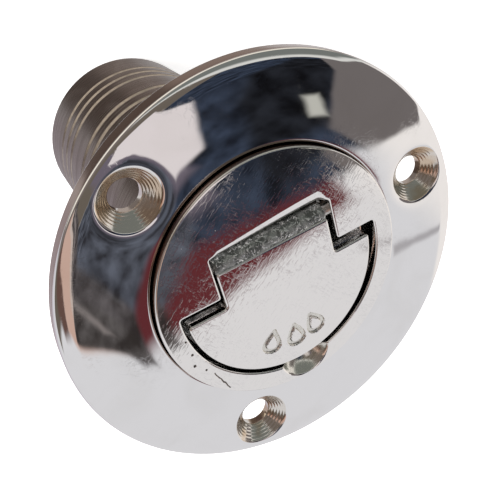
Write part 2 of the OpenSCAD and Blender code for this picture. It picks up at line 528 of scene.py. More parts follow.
class Paint(Graph):
    """A material whose shader is fed from procedural patterns, laid out in millimetres on the piece."""

    def __init__(self, name, colour, roughness, metallic=1.0):
        self.material = bpy.data.materials.new(name)
        self.material.use_nodes = True
        super().__init__(self.material.node_tree)
        self.shader = self.nodes["Principled BSDF"]
        self.feed(self.shader, (("Base Color", (*colour, 1)), ("Metallic", metallic),
                                ("Roughness", roughness)))
        place = self.nodes.new("ShaderNodeTexCoord")
        self.place = self.vector("SCALE", place.outputs["Object"], scale=1 / MM)
        self.flat = self.vector("MULTIPLY", self.place, (1, 1, 0))

    def vector(self, operation, first, second=None, scale=None):
        node = self.nodes.new("ShaderNodeVectorMath")
        node.operation = operation
        self.links.new(first, node.inputs[0])
        if second is not None:
            node.inputs[1].default_value = second
        if scale is not None:
            node.inputs["Scale"].default_value = scale
        return node.outputs["Value" if operation in ("LENGTH", "DISTANCE", "DOT_PRODUCT") else "Vector"]

    def noise(self, per_mm, detail=2.0, distortion=0.0, stretch=(1, 1, 1)):
        """Soft random pattern from 0 to 1, with the given number of features to a millimetre."""
        node = self.nodes.new("ShaderNodeTexNoise")
        self.feed(node, (("Scale", per_mm), ("Detail", detail), ("Distortion", distortion),
                         ("Vector", self.vector("MULTIPLY", self.place, stretch))))
        return node.outputs["Fac"]

    def specks(self, spacing, size, share):
        """Small round spots: 1 inside a spot. Only the given share of the cells has one."""
        node = self.nodes.new("ShaderNodeTexVoronoi")
        self.feed(node, (("Scale", 1 / spacing), ("Vector", self.place)))
        chance = self.split("ShaderNodeSeparateColor", node.outputs["Color"])[0]
        spot = self.range(node.outputs["Distance"], size / spacing, size / spacing * 0.6)
        return self.math("MULTIPLY", spot, self.range(chance, share, share - 0.01))

    def tint(self, mask, colour):
        """Lays a colour over the base colour where the mask is 1."""
        socket = self.shader.inputs["Base Color"]
        under = socket.links[0].from_socket if socket.is_linked else tuple(socket.default_value)
        self.links.new(self.mix(mask, under, (*colour, 1)), socket)

    def stain(self, noise, low, high, share, colour):
        """Lays a colour on, up to the given share, where a noise runs from low to high."""
        self.tint(self.range(self.noise(*noise), low, high, 0.0, share), colour)

    def rough(self, value):
        self.links.new(value, self.shader.inputs["Roughness"])

    def relief(self, value, height):
        """Adds relief of the given height in millimetres."""
        node = self.nodes.new("ShaderNodeBump")
        node.inputs["Distance"].default_value = height * MM
        self.links.new(value, node.inputs["Height"])
        socket = self.shader.inputs["Normal"]
        if socket.is_linked:
            self.links.new(socket.links[0].from_socket, node.inputs["Normal"])
        self.links.new(node.outputs["Normal"], socket)

    def lines(self, pattern, width):
        """Thin winding lines, where a pattern passes its middle value."""
        away = self.math("ABSOLUTE", self.math("SUBTRACT", pattern, 0.5))
        return self.range(away, width, 0.0)


def polished_steel():
    """Mirror-polished steel of the flange, with faint smudges, swirls and a little dust."""
    paint = Paint("polished_steel", (0.85, 0.85, 0.86), 0.03)
    smudge = paint.range(paint.noise(0.11, 2, 0.6), 0.5, 0.75, 0.025, 0.05)
    swirls = paint.math("MULTIPLY", paint.lines(paint.noise(0.5, 2, 2.2), 0.02),
                        paint.range(paint.noise(0.06, 2), 0.5, 0.6))
    dust = paint.specks(3.6, 0.11, 0.12)
    rough = paint.math("MULTIPLY_ADD", swirls, 0.02, smudge)
    paint.rough(paint.math("MULTIPLY_ADD", dust, 0.4, rough))
    paint.stain((0.09, 3, 0.5), 0.45, 0.75, 0.35, (0.76, 0.755, 0.75))
    paint.relief(paint.noise(0.14, 1), 0.006)
    paint.relief(paint.math("ADD", swirls, dust), 0.0005)
    return paint.material


def buffed_steel(name, pits=(), scratches=()):
    """Steel of the cap and its handle: polished too, and covered with fine buffing strokes.

    Pits are (x, y, radius) and scratches (x, y, x, y, width), in millimetres in the row's frame.
    """
    paint = Paint(name, (0.89, 0.875, 0.86), 0.03)
    strokes = paint.noise(1.0, 2, 0.5, (0.6, 2.6, 1))
    crossed = paint.noise(1.0, 2, 0.9, (2.4, 0.7, 1))
    where = paint.range(paint.noise(0.1, 2, 0.8), 0.42, 0.6)
    hatch = paint.math("ADD", paint.math("MULTIPLY", paint.range(crossed, 0.5, 0.62), where),
                       paint.range(strokes, 0.56, 0.66, 0, 0.6))
    dust = paint.specks(1.9, 0.1, 0.2)
    rough = paint.math("MULTIPLY_ADD", hatch, 0.085, 0.03)
    paint.rough(paint.math("MULTIPLY_ADD", dust, 0.5, rough))
    paint.relief(paint.noise(0.16, 1), 0.005)
    paint.relief(paint.math("ADD", hatch, paint.math("MULTIPLY", strokes, 1.5)), 0.0014)
    paint.tint(paint.math("MULTIPLY", hatch, 0.15), (0.6, 0.6, 0.62))
    for x, y, radius in pits:
        away = paint.vector("DISTANCE", paint.flat, (x, y, 0))
        pit = paint.range(away, radius, radius * 0.5)
        paint.tint(pit, (0.05, 0.04, 0.035))
        paint.relief(pit, -0.08)
    for ax, ay, bx, by, width in scratches:
        run = math.hypot(bx - ax, by - ay)
        along = ((bx - ax) / run, (by - ay) / run, 0)
        middle = ((ax + bx) / 2, (ay + by) / 2, 0)
        offset = paint.vector("SUBTRACT", paint.place, middle)
        side = paint.vector("DOT_PRODUCT", offset, (-along[1], along[0], 0))
        length = paint.math("ABSOLUTE", paint.vector("DOT_PRODUCT", offset, along))
        across = paint.math("ABSOLUTE", paint.math("ADD", side, paint.math(
            "MULTIPLY_ADD", paint.noise(0.8, 2), 0.5, -0.25)))
        cut = paint.math("MULTIPLY", paint.range(across, width, width * 0.4),
                         paint.range(length, run / 2, run / 2 - 0.5))
        paint.tint(cut, (0.12, 0.1, 0.09))
        paint.relief(cut, -0.05)
    return paint.material


def turned_steel():
    """Steel straight from the countersink: fine rings, chatter and a straw tint."""
    paint = Paint("turned_steel", (0.78, 0.75, 0.71), 0.15)
    paint.rough(paint.range(paint.noise(0.7, 2, 0.8), 0.3, 0.7, 0.08, 0.2))
    paint.stain((0.16, 2), 0.46, 0.6, 1, (0.66, 0.54, 0.42))
    paint.relief(paint.noise(1.6, 3, 0.4), 0.005)
    return paint.material


def neck_painted_reflection_steel():
    """The neck as machined: dull, with fine turning rings, water marks and a few stains. Its dark brown base
    colour is a painted reflection of the dark brown room round it.
    """
    # Painted reflection: the base colour is darkened to the dark brown that the neck's steel reflects.
    paint = Paint("neck_painted_reflection_steel", (0.19, 0.15, 0.13), 0.3)
    rings = paint.noise(1.0, 3, 0.0, (0.02, 0.02, 2.6))
    paint.rough(paint.range(rings, 0.35, 0.65, 0.24, 0.4))
    paint.relief(rings, 0.014)
    paint.relief(paint.noise(0.5, 3), 0.008)
    paint.stain((0.05, 4, 1.2), 0.45, 0.72, 0.6, (0.38, 0.34, 0.32))
    paint.stain((0.08, 3, 0.6), 0.6, 0.75, 0.5, (0.13, 0.09, 0.07))
    return paint.material


def groove_painted_highlight_steel():
    """The bottoms of the neck's grooves, painted lighter than the neck as a highlight, with darker patches."""
    # Painted highlight: a lighter copy of the neck's steel along the grooves.
    paint = Paint("groove_painted_highlight_steel", (0.52, 0.46, 0.41), 0.28)
    paint.stain((0.9, 3), 0.35, 0.65, 1, (0.42, 0.37, 0.33))
    paint.relief(paint.noise(1.5, 3), 0.015)
    return paint.material


def rim_painted_reflection_steel():
    """The flange's outer wall, turned but hardly polished, with a dark brown tint that is a painted reflection of
    the brown room round it. The cap's side wall uses it too.
    """
    # Painted reflection: the base colour is darkened to brown, on the flange's wall and on the cap's side wall.
    paint = Paint("rim_painted_reflection_steel", (0.34, 0.26, 0.22), 0.14)
    rings = paint.noise(1.0, 2, 0.0, (0.03, 0.03, 5))
    paint.rough(paint.range(rings, 0.35, 0.65, 0.12, 0.22))
    paint.relief(rings, 0.004)
    paint.stain((0.1, 3, 0.5), 0.45, 0.7, 0.7, (0.3, 0.215, 0.175))
    return paint.material


def under_steel():
    """The flange's underside: turned flat, with rings round the neck."""
    paint = Paint("under_steel", (0.58, 0.57, 0.56), 0.3)
    rings = paint.math("SINE", paint.math("MULTIPLY", paint.vector("LENGTH", paint.flat), 14))
    wander = paint.noise(0.3, 3, 0.5)
    paint.relief(paint.math("MULTIPLY", rings, wander), 0.006)
    paint.rough(paint.range(wander, 0.3, 0.7, 0.24, 0.42))
    paint.stain((0.08, 4, 1.0), 0.5, 0.7, 0.6, (0.42, 0.39, 0.37))
    return paint.material


def cast_steel():
    """Unpolished casting, dark and grainy, in the pocket and on the barrel, with painted glints on the grain's
    high points.
    """
    paint = Paint("cast_steel", (0.42, 0.44, 0.43), 0.4)
    grain = paint.noise(1.9, 3, 1.2)
    paint.relief(grain, 0.12)
    paint.stain((0.5, 2), 0.42, 0.58, 0.85, (0.15, 0.16, 0.155))
    # Painted glints: the grain's high points are tinted near white.
    paint.tint(paint.range(grain, 0.54, 0.6), (0.95, 0.97, 0.95))
    paint.rough(paint.range(grain, 0.4, 0.65, 0.48, 0.24))
    return paint.material


def brushed_scoop():
    """The ground surface of the thumb scoop and of the cut marks."""
    paint = Paint("ground_steel", (0.78, 0.77, 0.72), 0.2)
    strokes = paint.noise(1.3, 2, 0.2, (0.25, 1.8, 1))
    paint.rough(paint.range(strokes, 0.35, 0.65, 0.14, 0.26))
    paint.relief(strokes, 0.003)
    return paint.material


def plain_steel():
    """Small turned and pressed fittings."""
    paint = Paint("plain_steel", (0.66, 0.65, 0.64), 0.24)
    scuffs = paint.noise(1.2, 3, 0.8)
    paint.rough(paint.range(scuffs, 0.35, 0.65, 0.18, 0.36))
    paint.relief(scuffs, 0.006)
    paint.stain((0.35, 2), 0.5, 0.75, 0.6, (0.48, 0.45, 0.42))
    return paint.material


def seal_rubber():
    """Black nitrile rubber with a dusty bloom."""
    paint = Paint("seal_rubber", (0.022, 0.022, 0.024), 0.5, 0.0)
    bloom = paint.noise(0.6, 4, 0.6)
    paint.rough(paint.range(bloom, 0.3, 0.7, 0.42, 0.68))
    paint.tint(paint.range(bloom, 0.55, 0.75, 0, 0.5), (0.07, 0.068, 0.065))
    paint.relief(paint.noise(2.5, 2), 0.01)
    return paint.material


POLISHED, TURNED, NECK, UNDER, RIM, GROOVE = 0, 1, 2, 3, 4, 5
polish, scoop_finish, cast_finish, wall_painted_reflection_finish = polished_steel(), brushed_scoop(), cast_steel(), rim_painted_reflection_steel()
deck_finishes = [polish, turned_steel(), neck_painted_reflection_steel(), under_steel(), wall_painted_reflection_finish, groove_painted_highlight_steel()]
CAST, GROUND, SIDE = 1, 2, 3
cap_finishes = [buffed_steel("buffed_steel", ((-20, 12, 0.3), (-22, 9, 0.35), (-24, 7, 0.4), (-24, 4, 0.3)),
                             ((-24, 2, -26, -4, 0.2),)),
                cast_finish, scoop_finish, wall_painted_reflection_finish]
grip_finishes = [buffed_steel("buffed_grip_steel"), cast_finish, scoop_finish]
small_finish, rubber_finish = plain_steel(), seal_rubber()


# ---- the casting: flange, collar and neck

def make_casting():
    """The flange with its countersinks, the threaded collar and the ridged neck, as one closed mesh."""
    shell = Shell()
    angles = steps(ROUND_STEPS)

    # The face between these two radii is triangulated round the countersinks
    inner_loop_r, outer_loop_r = 29.0, 44.2

    rim_r = list(np.linspace(outer_loop_r, FLANGE_R - RIM_ROUND, 4)[:-1])
    rim_r += [FLANGE_R - RIM_ROUND * (1 - math.cos(a)) for a in np.radians(np.linspace(80, 0, 9))]
    outer_rings = [height_ring(r, flange_height) for r in rim_r]
    rim_low = rounded([(FLANGE_R, 2.2), (FLANGE_R, 0, 0.3), (FLANGE_R - 3, 0)], 4)
    outer_rings += turned_rings(rim_low)
    rim_first, rim_last = shell.loft(outer_rings, POLISHED)

    lip_r = list(np.linspace(inner_loop_r, MOUTH_R + LIP_ROUND, 6)[:-1])
    lip_r += [MOUTH_R + LIP_ROUND * (1 - math.cos(a)) for a in np.radians(np.linspace(80, 0, 7))]
    inner_rings = [height_ring(r, flange_height) for r in lip_r]
    wall = rounded([(MOUTH_R, 3.0), (MOUTH_R, SEAT_Z, 0.3), (THREAD_BORE_R, SEAT_Z, 0.2),
                    (THREAD_BORE_R, -4.4)], 4)
    inner_rings += turned_rings(wall)
    inner_rings += thread_rings(THREAD_BORE_R, -RIDGE_H, -4.5, THREAD_FLOOR_Z,
                                RIDGE_START_Z - PITCH / 2)
    bore = rounded([(THREAD_BORE_R, THREAD_FLOOR_Z - 0.1), (BORE_R, THREAD_RUNOUT_Z, 0.5),
                    (BORE_R, NECK_END_Z, 0.4), (NECK_R, NECK_END_Z, 0.9)], 4)
    inner_rings += turned_rings(bore[:-1])
    lip_first, bore_last = shell.loft(inner_rings, POLISHED)

    # Neck's outside, from its end up to the flange's underside
    neck_first, neck_last = shell.loft(turned_rings(rounded(neck_profile(), 3, 0.1)), NECK)
    shell.bridge(bore_last, neck_first, NECK)

    # Screw holes: a rolled edge, a turned cone and a drilled hole
    top_loops, under_loops = map(list, zip(*(countersink(shell, centre) for centre in hole_centres)))

    inner = np.concatenate([polar(r, angles) for r in np.arange(inner_loop_r + 0.5, outer_loop_r - 0.2, 0.5)])
    away = np.linalg.norm(inner[:, None] - hole_centres[None], axis=2).min(axis=1)
    shell.fill([lip_first, rim_first] + top_loops, inner[away > SINK_LOOP_R + 0.3], flange_height, POLISHED)
    shell.fill([neck_last, rim_last] + under_loops, [], None, UNDER)
    # The outer wall gets the painted brown reflection.
    shell.refinish(lambda p, r: (r > FLANGE_R - 0.1) & (p[:, 2] > 0.3) & (p[:, 2] < 3.45), RIM)
    # The grooves' bottoms get the painted highlight.
    shell.refinish(lambda p, r: (r < NECK_R - 0.04) & (r > NECK_R - GROOVE_H - 0.1)
                   & (p[:, 2] < CONE_END_Z) & (p[:, 2] > NECK_END_Z + 2), GROOVE)
    return shell.build("deck_casting", deck_finishes)


def neck_profile():
    """Corners of the neck's outside, from the end up to the flange."""
    corners = [(BORE_R + 0.5, NECK_END_Z), (NECK_R, NECK_END_Z, 0.9)]
    for z in sorted(GROOVES_Z):
        corners += [(NECK_R, z - GROOVE_W / 2, 0.25), (NECK_R - GROOVE_H, z, 0.35),
                    (NECK_R, z + GROOVE_W / 2, 0.25)]
    return corners + [(NECK_R, CONE_END_Z, 1.5), (COLLAR_R, COLLAR_END_Z, 0.8), (COLLAR_R, 0, 0.4),
                      (COLLAR_R + 1, 0)]


def countersink(shell, centre):
    """One screw hole in the flange. Returns its top loop and its loop on the underside."""
    angles = steps(SINK_STEPS)
    rings = []
    sink_r = SCREW_R + SINK_H
    turned_r = sink_r - 0.35
    reach = np.concatenate([np.arange(SINK_LOOP_R, sink_r + 0.3, -0.15),
                            np.arange(sink_r + 0.3, sink_r - 0.4, -0.06),
                            np.arange(sink_r - 0.4, SCREW_R, -0.07)])
    for rho in reach:
        xy = centre + polar(rho, angles)
        z = flange_height(xy)
        if rho < turned_r:
            z = z - TURN_H * (1 - math.cos(2 * math.pi * (turned_r - rho) / TURN_PITCH))
        rings.append(np.column_stack([xy, z]))
    polished_rings = 12
    top, edge_end = shell.loft(rings[:polished_rings], POLISHED)
    cone_start, cone_end = shell.loft(rings[polished_rings:], TURNED)
    shell.bridge(edge_end, cone_start, TURNED)
    wall_top = CROWN_H - SINK_H - 0.1
    wall = rounded([(SCREW_R, wall_top), (SCREW_R, 0, 0.15), (SCREW_R + 0.3, 0)], 3)
    first, last = shell.loft([circle(r, z, SINK_STEPS, centre) for r, z in wall], TURNED)
    shell.bridge(cone_end, first, TURNED)
    return top, last


# ---- the cap

def spread(low, high, spacing):
    """Points of a staggered grid over a rectangle."""
    points = []
    rows = int((high[1] - low[1]) / (spacing * 0.866))
    for k in range(rows + 1):
        x = np.arange(low[0] + (k % 2) * spacing / 2, high[0], spacing)
        points.append(np.column_stack([x, np.full(len(x), low[1] + k * spacing * 0.866)]))
    return np.concatenate(points)


def distance_to(points, path):
    """Distance from each point to the nearest point of a path."""
    return np.linalg.norm(points[:, None] - path[None], axis=2).min(axis=1)


def tee_corners(centre, r, tab_w, shoulder_y, back_y, back_round, horn_round):
    """Corners of a tab on a half-round, anticlockwise. The half-round is the side after the left horn."""
    x, half = centre[0], tab_w / 2
    horn = math.sqrt(r ** 2 - (shoulder_y - centre[1]) ** 2)
    return [(x + half, shoulder_y, 0.7), (x + half, back_y, back_round), (x - half, back_y, back_round),
            (x - half, shoulder_y, 0.7), (x - horn, shoulder_y, horn_round, centre),
            (x + horn, shoulder_y, horn_round)]


def rolled_edge(path, out, radius, face, turns=6):
    """Rings over a rounded edge, from the face at the edge's far side to the wall along the path."""
    rings = []
    radius = np.broadcast_to(radius, len(path))
    for a in np.linspace(0, math.pi / 2, turns + 1):
        place = path + out * (radius * (1 - math.sin(a)))[:, None]
        level = face(path + out * radius[:, None])
        rings.append(np.column_stack([place, level - radius * (1 - math.cos(a))]))
    return rings


def rounded_foot(path, out, z, radius):
    """Rings along a path that round the foot of a wall onto a flat face at height z."""
    return [np.column_stack([path - out * inset, np.full(len(path), z + rise)])
            for inset, rise in ((0, radius), (radius * 0.3, radius * 0.3), (radius, 0))]


def cylinder_along_x(from_x, to_x, r, count=72, end_round=0.0, roughen=None):
    """A closed cylinder on the pin's axis, with rounded ends and, where roughen is given, an uneven skin."""
    shell = Shell()
    ends = [(end_round * (1 - math.cos(a)), end_round * (1 - math.sin(a)))
            for a in np.radians(np.linspace(0, 90, 6 if end_round else 1))]
    places = [(from_x + run, r - drop) for run, drop in ends]
    if roughen is not None:
        places += [(x, r) for x in np.arange(from_x + 1, to_x - 0.6, 0.25)]
    places += [(to_x - run, r - drop) for run, drop in reversed(ends)]
    angles = steps(count)
    rings = []
    for x, ring_r in places:
        reach = ring_r + (roughen(x, angles) if roughen is not None else 0)
        rings.append(np.column_stack([np.full(count, x), PIN_Y + reach * np.cos(angles),
                                      PIN_Z + reach * np.sin(angles)]))
    first, last = shell.loft(rings)
    shell.disc(first)
    shell.disc(last)
    return shell


def combine(piece, cutter, operation):
    """Applies one boolean to a piece and removes the cutter."""
    modifier = piece.modifiers.new("combine", "BOOLEAN")
    modifier.operation = operation
    modifier.solver = "EXACT"
    modifier.object = cutter
    bpy.context.view_layer.update()
    result = bpy.data.meshes.new_from_object(piece.evaluated_get(bpy.context.evaluated_depsgraph_get()))
    old = piece.data
    piece.modifiers.clear()
    piece.data = result
    result.name = piece.name
    bpy.data.meshes.remove(old)
    bpy.data.objects.remove(cutter)
    finish_mesh(result)


def make_cap():
    """The cap's plate with its pocket and scoop, and its threaded hollow plug."""
    shell = Shell()
    clock = math.atan2(CAP_X[1], CAP_X[0])

    loop_r = CAP_R - 1.5
    edge_turns = np.radians(np.linspace(0, 84, 11))
    rim_r = list(np.linspace(loop_r, CAP_R - CAP_EDGE, 7)[:-1])
    rim_r += [CAP_R - CAP_EDGE * (1 - math.sin(a)) for a in edge_turns]
    rim = [height_ring(r, cap_face_height) for r in rim_r]
    side_top = CAP_H - CAP_FALL - CAP_EDGE - 0.05
    side = rounded([(CAP_R, side_top), (CAP_R, CAP_UNDER_Z, 0.3), (ROOT_R, CAP_UNDER_Z, 0.2),
                    (ROOT_R, ROOT_END_Z, 0.1), (PLUG_R, ROOT_END_Z - 0.5)], 4)
    rim += turned_rings(side)
    rim += thread_rings(PLUG_R, RIDGE_H, ROOT_END_Z - 0.6, PLUG_END_Z + 0.7, RIDGE_START_Z, clock)
    plug = rounded([(PLUG_R - 0.02, PLUG_END_Z + 0.6), (PLUG_R - 0.7, PLUG_END_Z, 0.2),
                    (HOLLOW_R, PLUG_END_Z, 0.4), (HOLLOW_R, HOLLOW_ROOF_Z, 2), (BOSS_R, HOLLOW_ROOF_Z, 0.6),
                    (BOSS_R, BOSS_Z, 0.3), (TAP_R, BOSS_Z, 0.15), (TAP_R, BOSS_Z + TAP_DEPTH)], 4)
    rim += turned_rings(plug)
    face_loop, tap_end = shell.loft(rim, POLISHED)
    shell.disc(tap_end, POLISHED)

    path, out = outline(tee_corners((0, 0), POCKET_R, POCKET_TAB_W, POCKET_SHOULDER_Y, POCKET_BACK_Y,
                                    0.5, 0.6))
    # The pocket's back edge is rounded further, most at its right end
    half = POCKET_TAB_W / 2
    back = np.clip((path[:, 1] - POCKET_BACK_Y + 0.9) / 0.9, 0, 1)
    back *= np.clip((half - np.abs(path[:, 0])) / 2, 0, 1) * (0.65 + 0.35 * path[:, 0] / half)
    edge = POCKET_EDGE + (BACK_EDGE - POCKET_EDGE) * back * back * (3 - 2 * back)
    wall = rolled_edge(path, out, edge, cap_face_height) + rounded_foot(path, out, POCKET_FLOOR_Z, 0.3)
    edge_loop, floor_loop = shell.loft(wall, POLISHED)
    shell.fill([floor_loop], [], None, CAST)

    def from_scoop(points):
        return np.hypot(points[:, 0], points[:, 1] - SCOOP_Y)

    coarse = spread((-CAP_R, -CAP_R), (CAP_R, CAP_R), FACE_SPACING)
    fine = spread((-SCOOP_R, SCOOP_Y - SCOOP_R), (SCOOP_R, SCOOP_Y + SCOOP_R), SCOOP_SPACING)
    inner = np.concatenate([coarse[from_scoop(coarse) > 7.2], fine[from_scoop(fine) < 7]])
    inner = inner[np.hypot(inner[:, 0], inner[:, 1]) < loop_r - 0.25]
    edge_path = path + out * edge[:, None]
    inner = inner[~inside_loop(inner, edge_path)]
    inner = inner[distance_to(inner, edge_path) > 0.25]
    close = path + out * (edge[:, None] + 0.12)
    close = close[np.hypot(close[:, 0], close[:, 1]) < loop_r - 0.2]
    shell.fill([face_loop, edge_loop], np.concatenate([inner, close]), cap_face_height, POLISHED)
    rim_z = CAP_H - CAP_FALL
    shell.refinish(lambda p, r: (from_scoop(p) < SCOOP_R) & (p[:, 2] > 2) & (p[:, 2] < rim_z - 0.12)
                   & (r < CAP_R - 0.1) & (r > POCKET_R + 0.1), GROUND)
    # The cap's side wall gets the flange wall's painted brown reflection.
    shell.refinish(lambda p, r: (r > CAP_R - 0.08) & (p[:, 2] > 2)
                   & (p[:, 2] < rim_z - CAP_EDGE + 0.05), SIDE)
    cap = shell.build("screw_cap", cap_finishes)

    trough = cylinder_along_x(-half, half, BARREL_R + 0.3)
    pin_bore = cylinder_along_x(-18.5, CAP_R + 1, PIN_R, 48)
    for tool in (trough, pin_bore):
        combine(cap, tool.build("tool", cap_finishes), "DIFFERENCE")
    turn_to_row(cap)
    return cap


def turn_to_row(piece):
    """Turns a finished piece from the cap's own axes into the row's."""
    mesh = piece.data
    places = np.empty(len(mesh.vertices) * 3)
    mesh.vertices.foreach_get("co", places)
    mesh.vertices.foreach_set("co", cap_to_row(places.reshape(-1, 3)).ravel())
    mesh.update()


# ---- the handle

def droplet_path(count=90):
    """A drop-shaped outline of length 1, with its tip at +Y."""
    t = np.linspace(0, 2 * math.pi, count, endpoint=False)
    return np.column_stack([0.5 * np.sin(t) * np.sin(t / 2) ** 1.4, 0.5 * np.cos(t)])


def mark_paths():
    """The three drop outlines cut in the grip, their tips towards the handle's middle."""
    paths = []
    for angle in np.radians(MARK_ANGLES):
        centre = polar(MARK_R, angle)
        up = -centre / MARK_R
        side = np.array([up[1], -up[0]])
        drop = droplet_path() * MARK_H
        paths.append(centre + drop[:, :1] * side + drop[:, 1:] * up)
    return paths


mark_lines = np.concatenate(mark_paths())


def handle_dome(xy):
    """Height of the handle's top in the cap's own axes, without the marks."""
    r = np.hypot(xy[:, 0], xy[:, 1])
    return handle_high[2] - CAP_FALL * (r / CAP_R) ** 2


def handle_face_height(xy):
    """Height of the handle's top, with the marks cut in."""
    parts = np.array_split(xy, max(1, len(xy) // 2000))
    near = np.concatenate([distance_to(part, mark_lines) for part in parts])
    cut = np.clip((MARK_STROKE - near) / MARK_SLOPE + 0.5, 0, 1)
    return handle_dome(xy) - MARK_DEPTH * cut * cut * (3 - 2 * cut)


def barrel_skin(x, angles):
    """Unevenness of the barrel's cast skin."""
    broad = 0.018 * np.sin(3 * angles + 0.9 * x) * np.sin(1.7 * x)
    return broad + 0.012 * np.sin(7 * angles - 2.3 * x) - 0.02


def make_handle():
    """The lift handle: a plate with rolled edges and cut marks, and a cast barrel for the pin."""
    shell = Shell()
    path, out = outline(tee_corners((HANDLE_X, GRIP_Y), GRIP_R, TAB_W, GRIP_SHOULDER_Y, HANDLE_BACK_Y,
                                    0.7, 0.9))
    wall = rolled_edge(path, -out, HANDLE_EDGE, handle_dome, 7)
    wall += rounded_foot(path, out, handle_high[2] - HANDLE_T, 0.35)
    top_loop, under_loop = shell.loft(wall, POLISHED)
    shell.fill([under_loop], [], None, CAST)

    reach = (GRIP_R + 1, HANDLE_BACK_Y + 1)
    coarse = spread((-reach[0], -reach[0]), reach, FACE_SPACING)
    coarse = coarse[distance_to(coarse, mark_lines) >= 1.0]
    fine = spread((-10, -19.5), (8, -11), MARK_SPACING)
    fine = fine[distance_to(fine, mark_lines[::3]) < 0.85]
    inner = np.concatenate([coarse, fine])
    top_path = path - out * HANDLE_EDGE
    inner = inner[inside_loop(inner, top_path)]
    inner = inner[distance_to(inner, top_path) > 0.25]
    close = path - out * (HANDLE_EDGE + 0.12)
    shell.fill([top_loop], np.concatenate([inner, close]), handle_face_height, POLISHED)
    shell.refinish(lambda p, r: (distance_to(p[:, :2], mark_lines) < MARK_STROKE)
                   & (p[:, 2] > handle_high[2] - 1), GROUND)
    handle = shell.build("lift_grip", grip_finishes)

    left, right = HANDLE_X - TAB_W / 2 + 0.04, HANDLE_X + TAB_W / 2 - 0.04
    barrel = cylinder_along_x(left, right, BARREL_R, 120, 0.5, barrel_skin)
    bore = cylinder_along_x(left - 2, right + 2, PIN_R + PIN_PLAY, 64)
    for tool, operation in ((barrel, "UNION"), (bore, "DIFFERENCE")):
        tool.finishes = [CAST] * len(tool.finishes)
        combine(handle, tool.build("tool", grip_finishes), operation)
    turn_to_row(handle)
    return handle


# ---- camera, floor and light

CAMERA_AT = (20.9, 88.1, 109.7)
CAMERA_AIM = (10.25, 11.5, -8.4)
CAMERA_ROLL = 127.95
CAMERA_LENS = 48.7
CAMERA_SHIFT = (0.030, -0.133)
FLOOR_REACH = 2.5
KEY_AT, KEY_SIZE, KEY_POWER = (-0.5, 0.6, 0.9), 0.6, 14


def add_object(name, data):
    piece = bpy.data.objects.new(name, data)
    bpy.context.scene.collection.objects.link(piece)
    return piece


def point(piece, at, aim, roll=0.0):
    """Puts a camera or light at one place, in metres, aimed at another."""
    piece.location = at
    piece.rotation_mode = "QUATERNION"
    turn = (Vector(aim) - Vector(at)).to_track_quat("-Z", "Y")
    piece.rotation_quaternion = turn @ Quaternion((0, 0, 1), math.radians(roll))


def make_camera():
    data = bpy.data.cameras.new("camera")
    data.lens = CAMERA_LENS
    data.sensor_width = 36
    data.shift_x, data.shift_y = CAMERA_SHIFT
    data.clip_start, data.clip_end = 0.005, 20
    camera = add_object("camera", data)
    point(camera, Vector(CAMERA_AT) * MM, Vector(CAMERA_AIM) * MM, CAMERA_ROLL)
    bpy.context.scene.camera = camera


def floor_paint():
    """Plain pale floor."""
    paint = Paint("floor_paint", (0.92, 0.92, 0.92), 0.9, 0.0)
    paint.shader.inputs["Emission Color"].default_value = (1, 1, 1, 1)
    paint.shader.inputs["Emission Strength"].default_value = 0.75
    paint.tint(paint.noise(0.01, 3), (0.9, 0.9, 0.9))
    return paint.material


def make_floor():
    mesh = bpy.data.meshes.new("floor")
    corners = [(x * FLOOR_REACH, y * FLOOR_REACH, NECK_END_Z * MM)
               for x, y in ((-1, -1), (1, -1), (1, 1), (-1, 1))]
    mesh.from_pydata(corners, [], [(0, 1, 2, 3)])
    mesh.materials.append(floor_paint())
    floor = add_object("floor", mesh)
    floor.visible_glossy = False


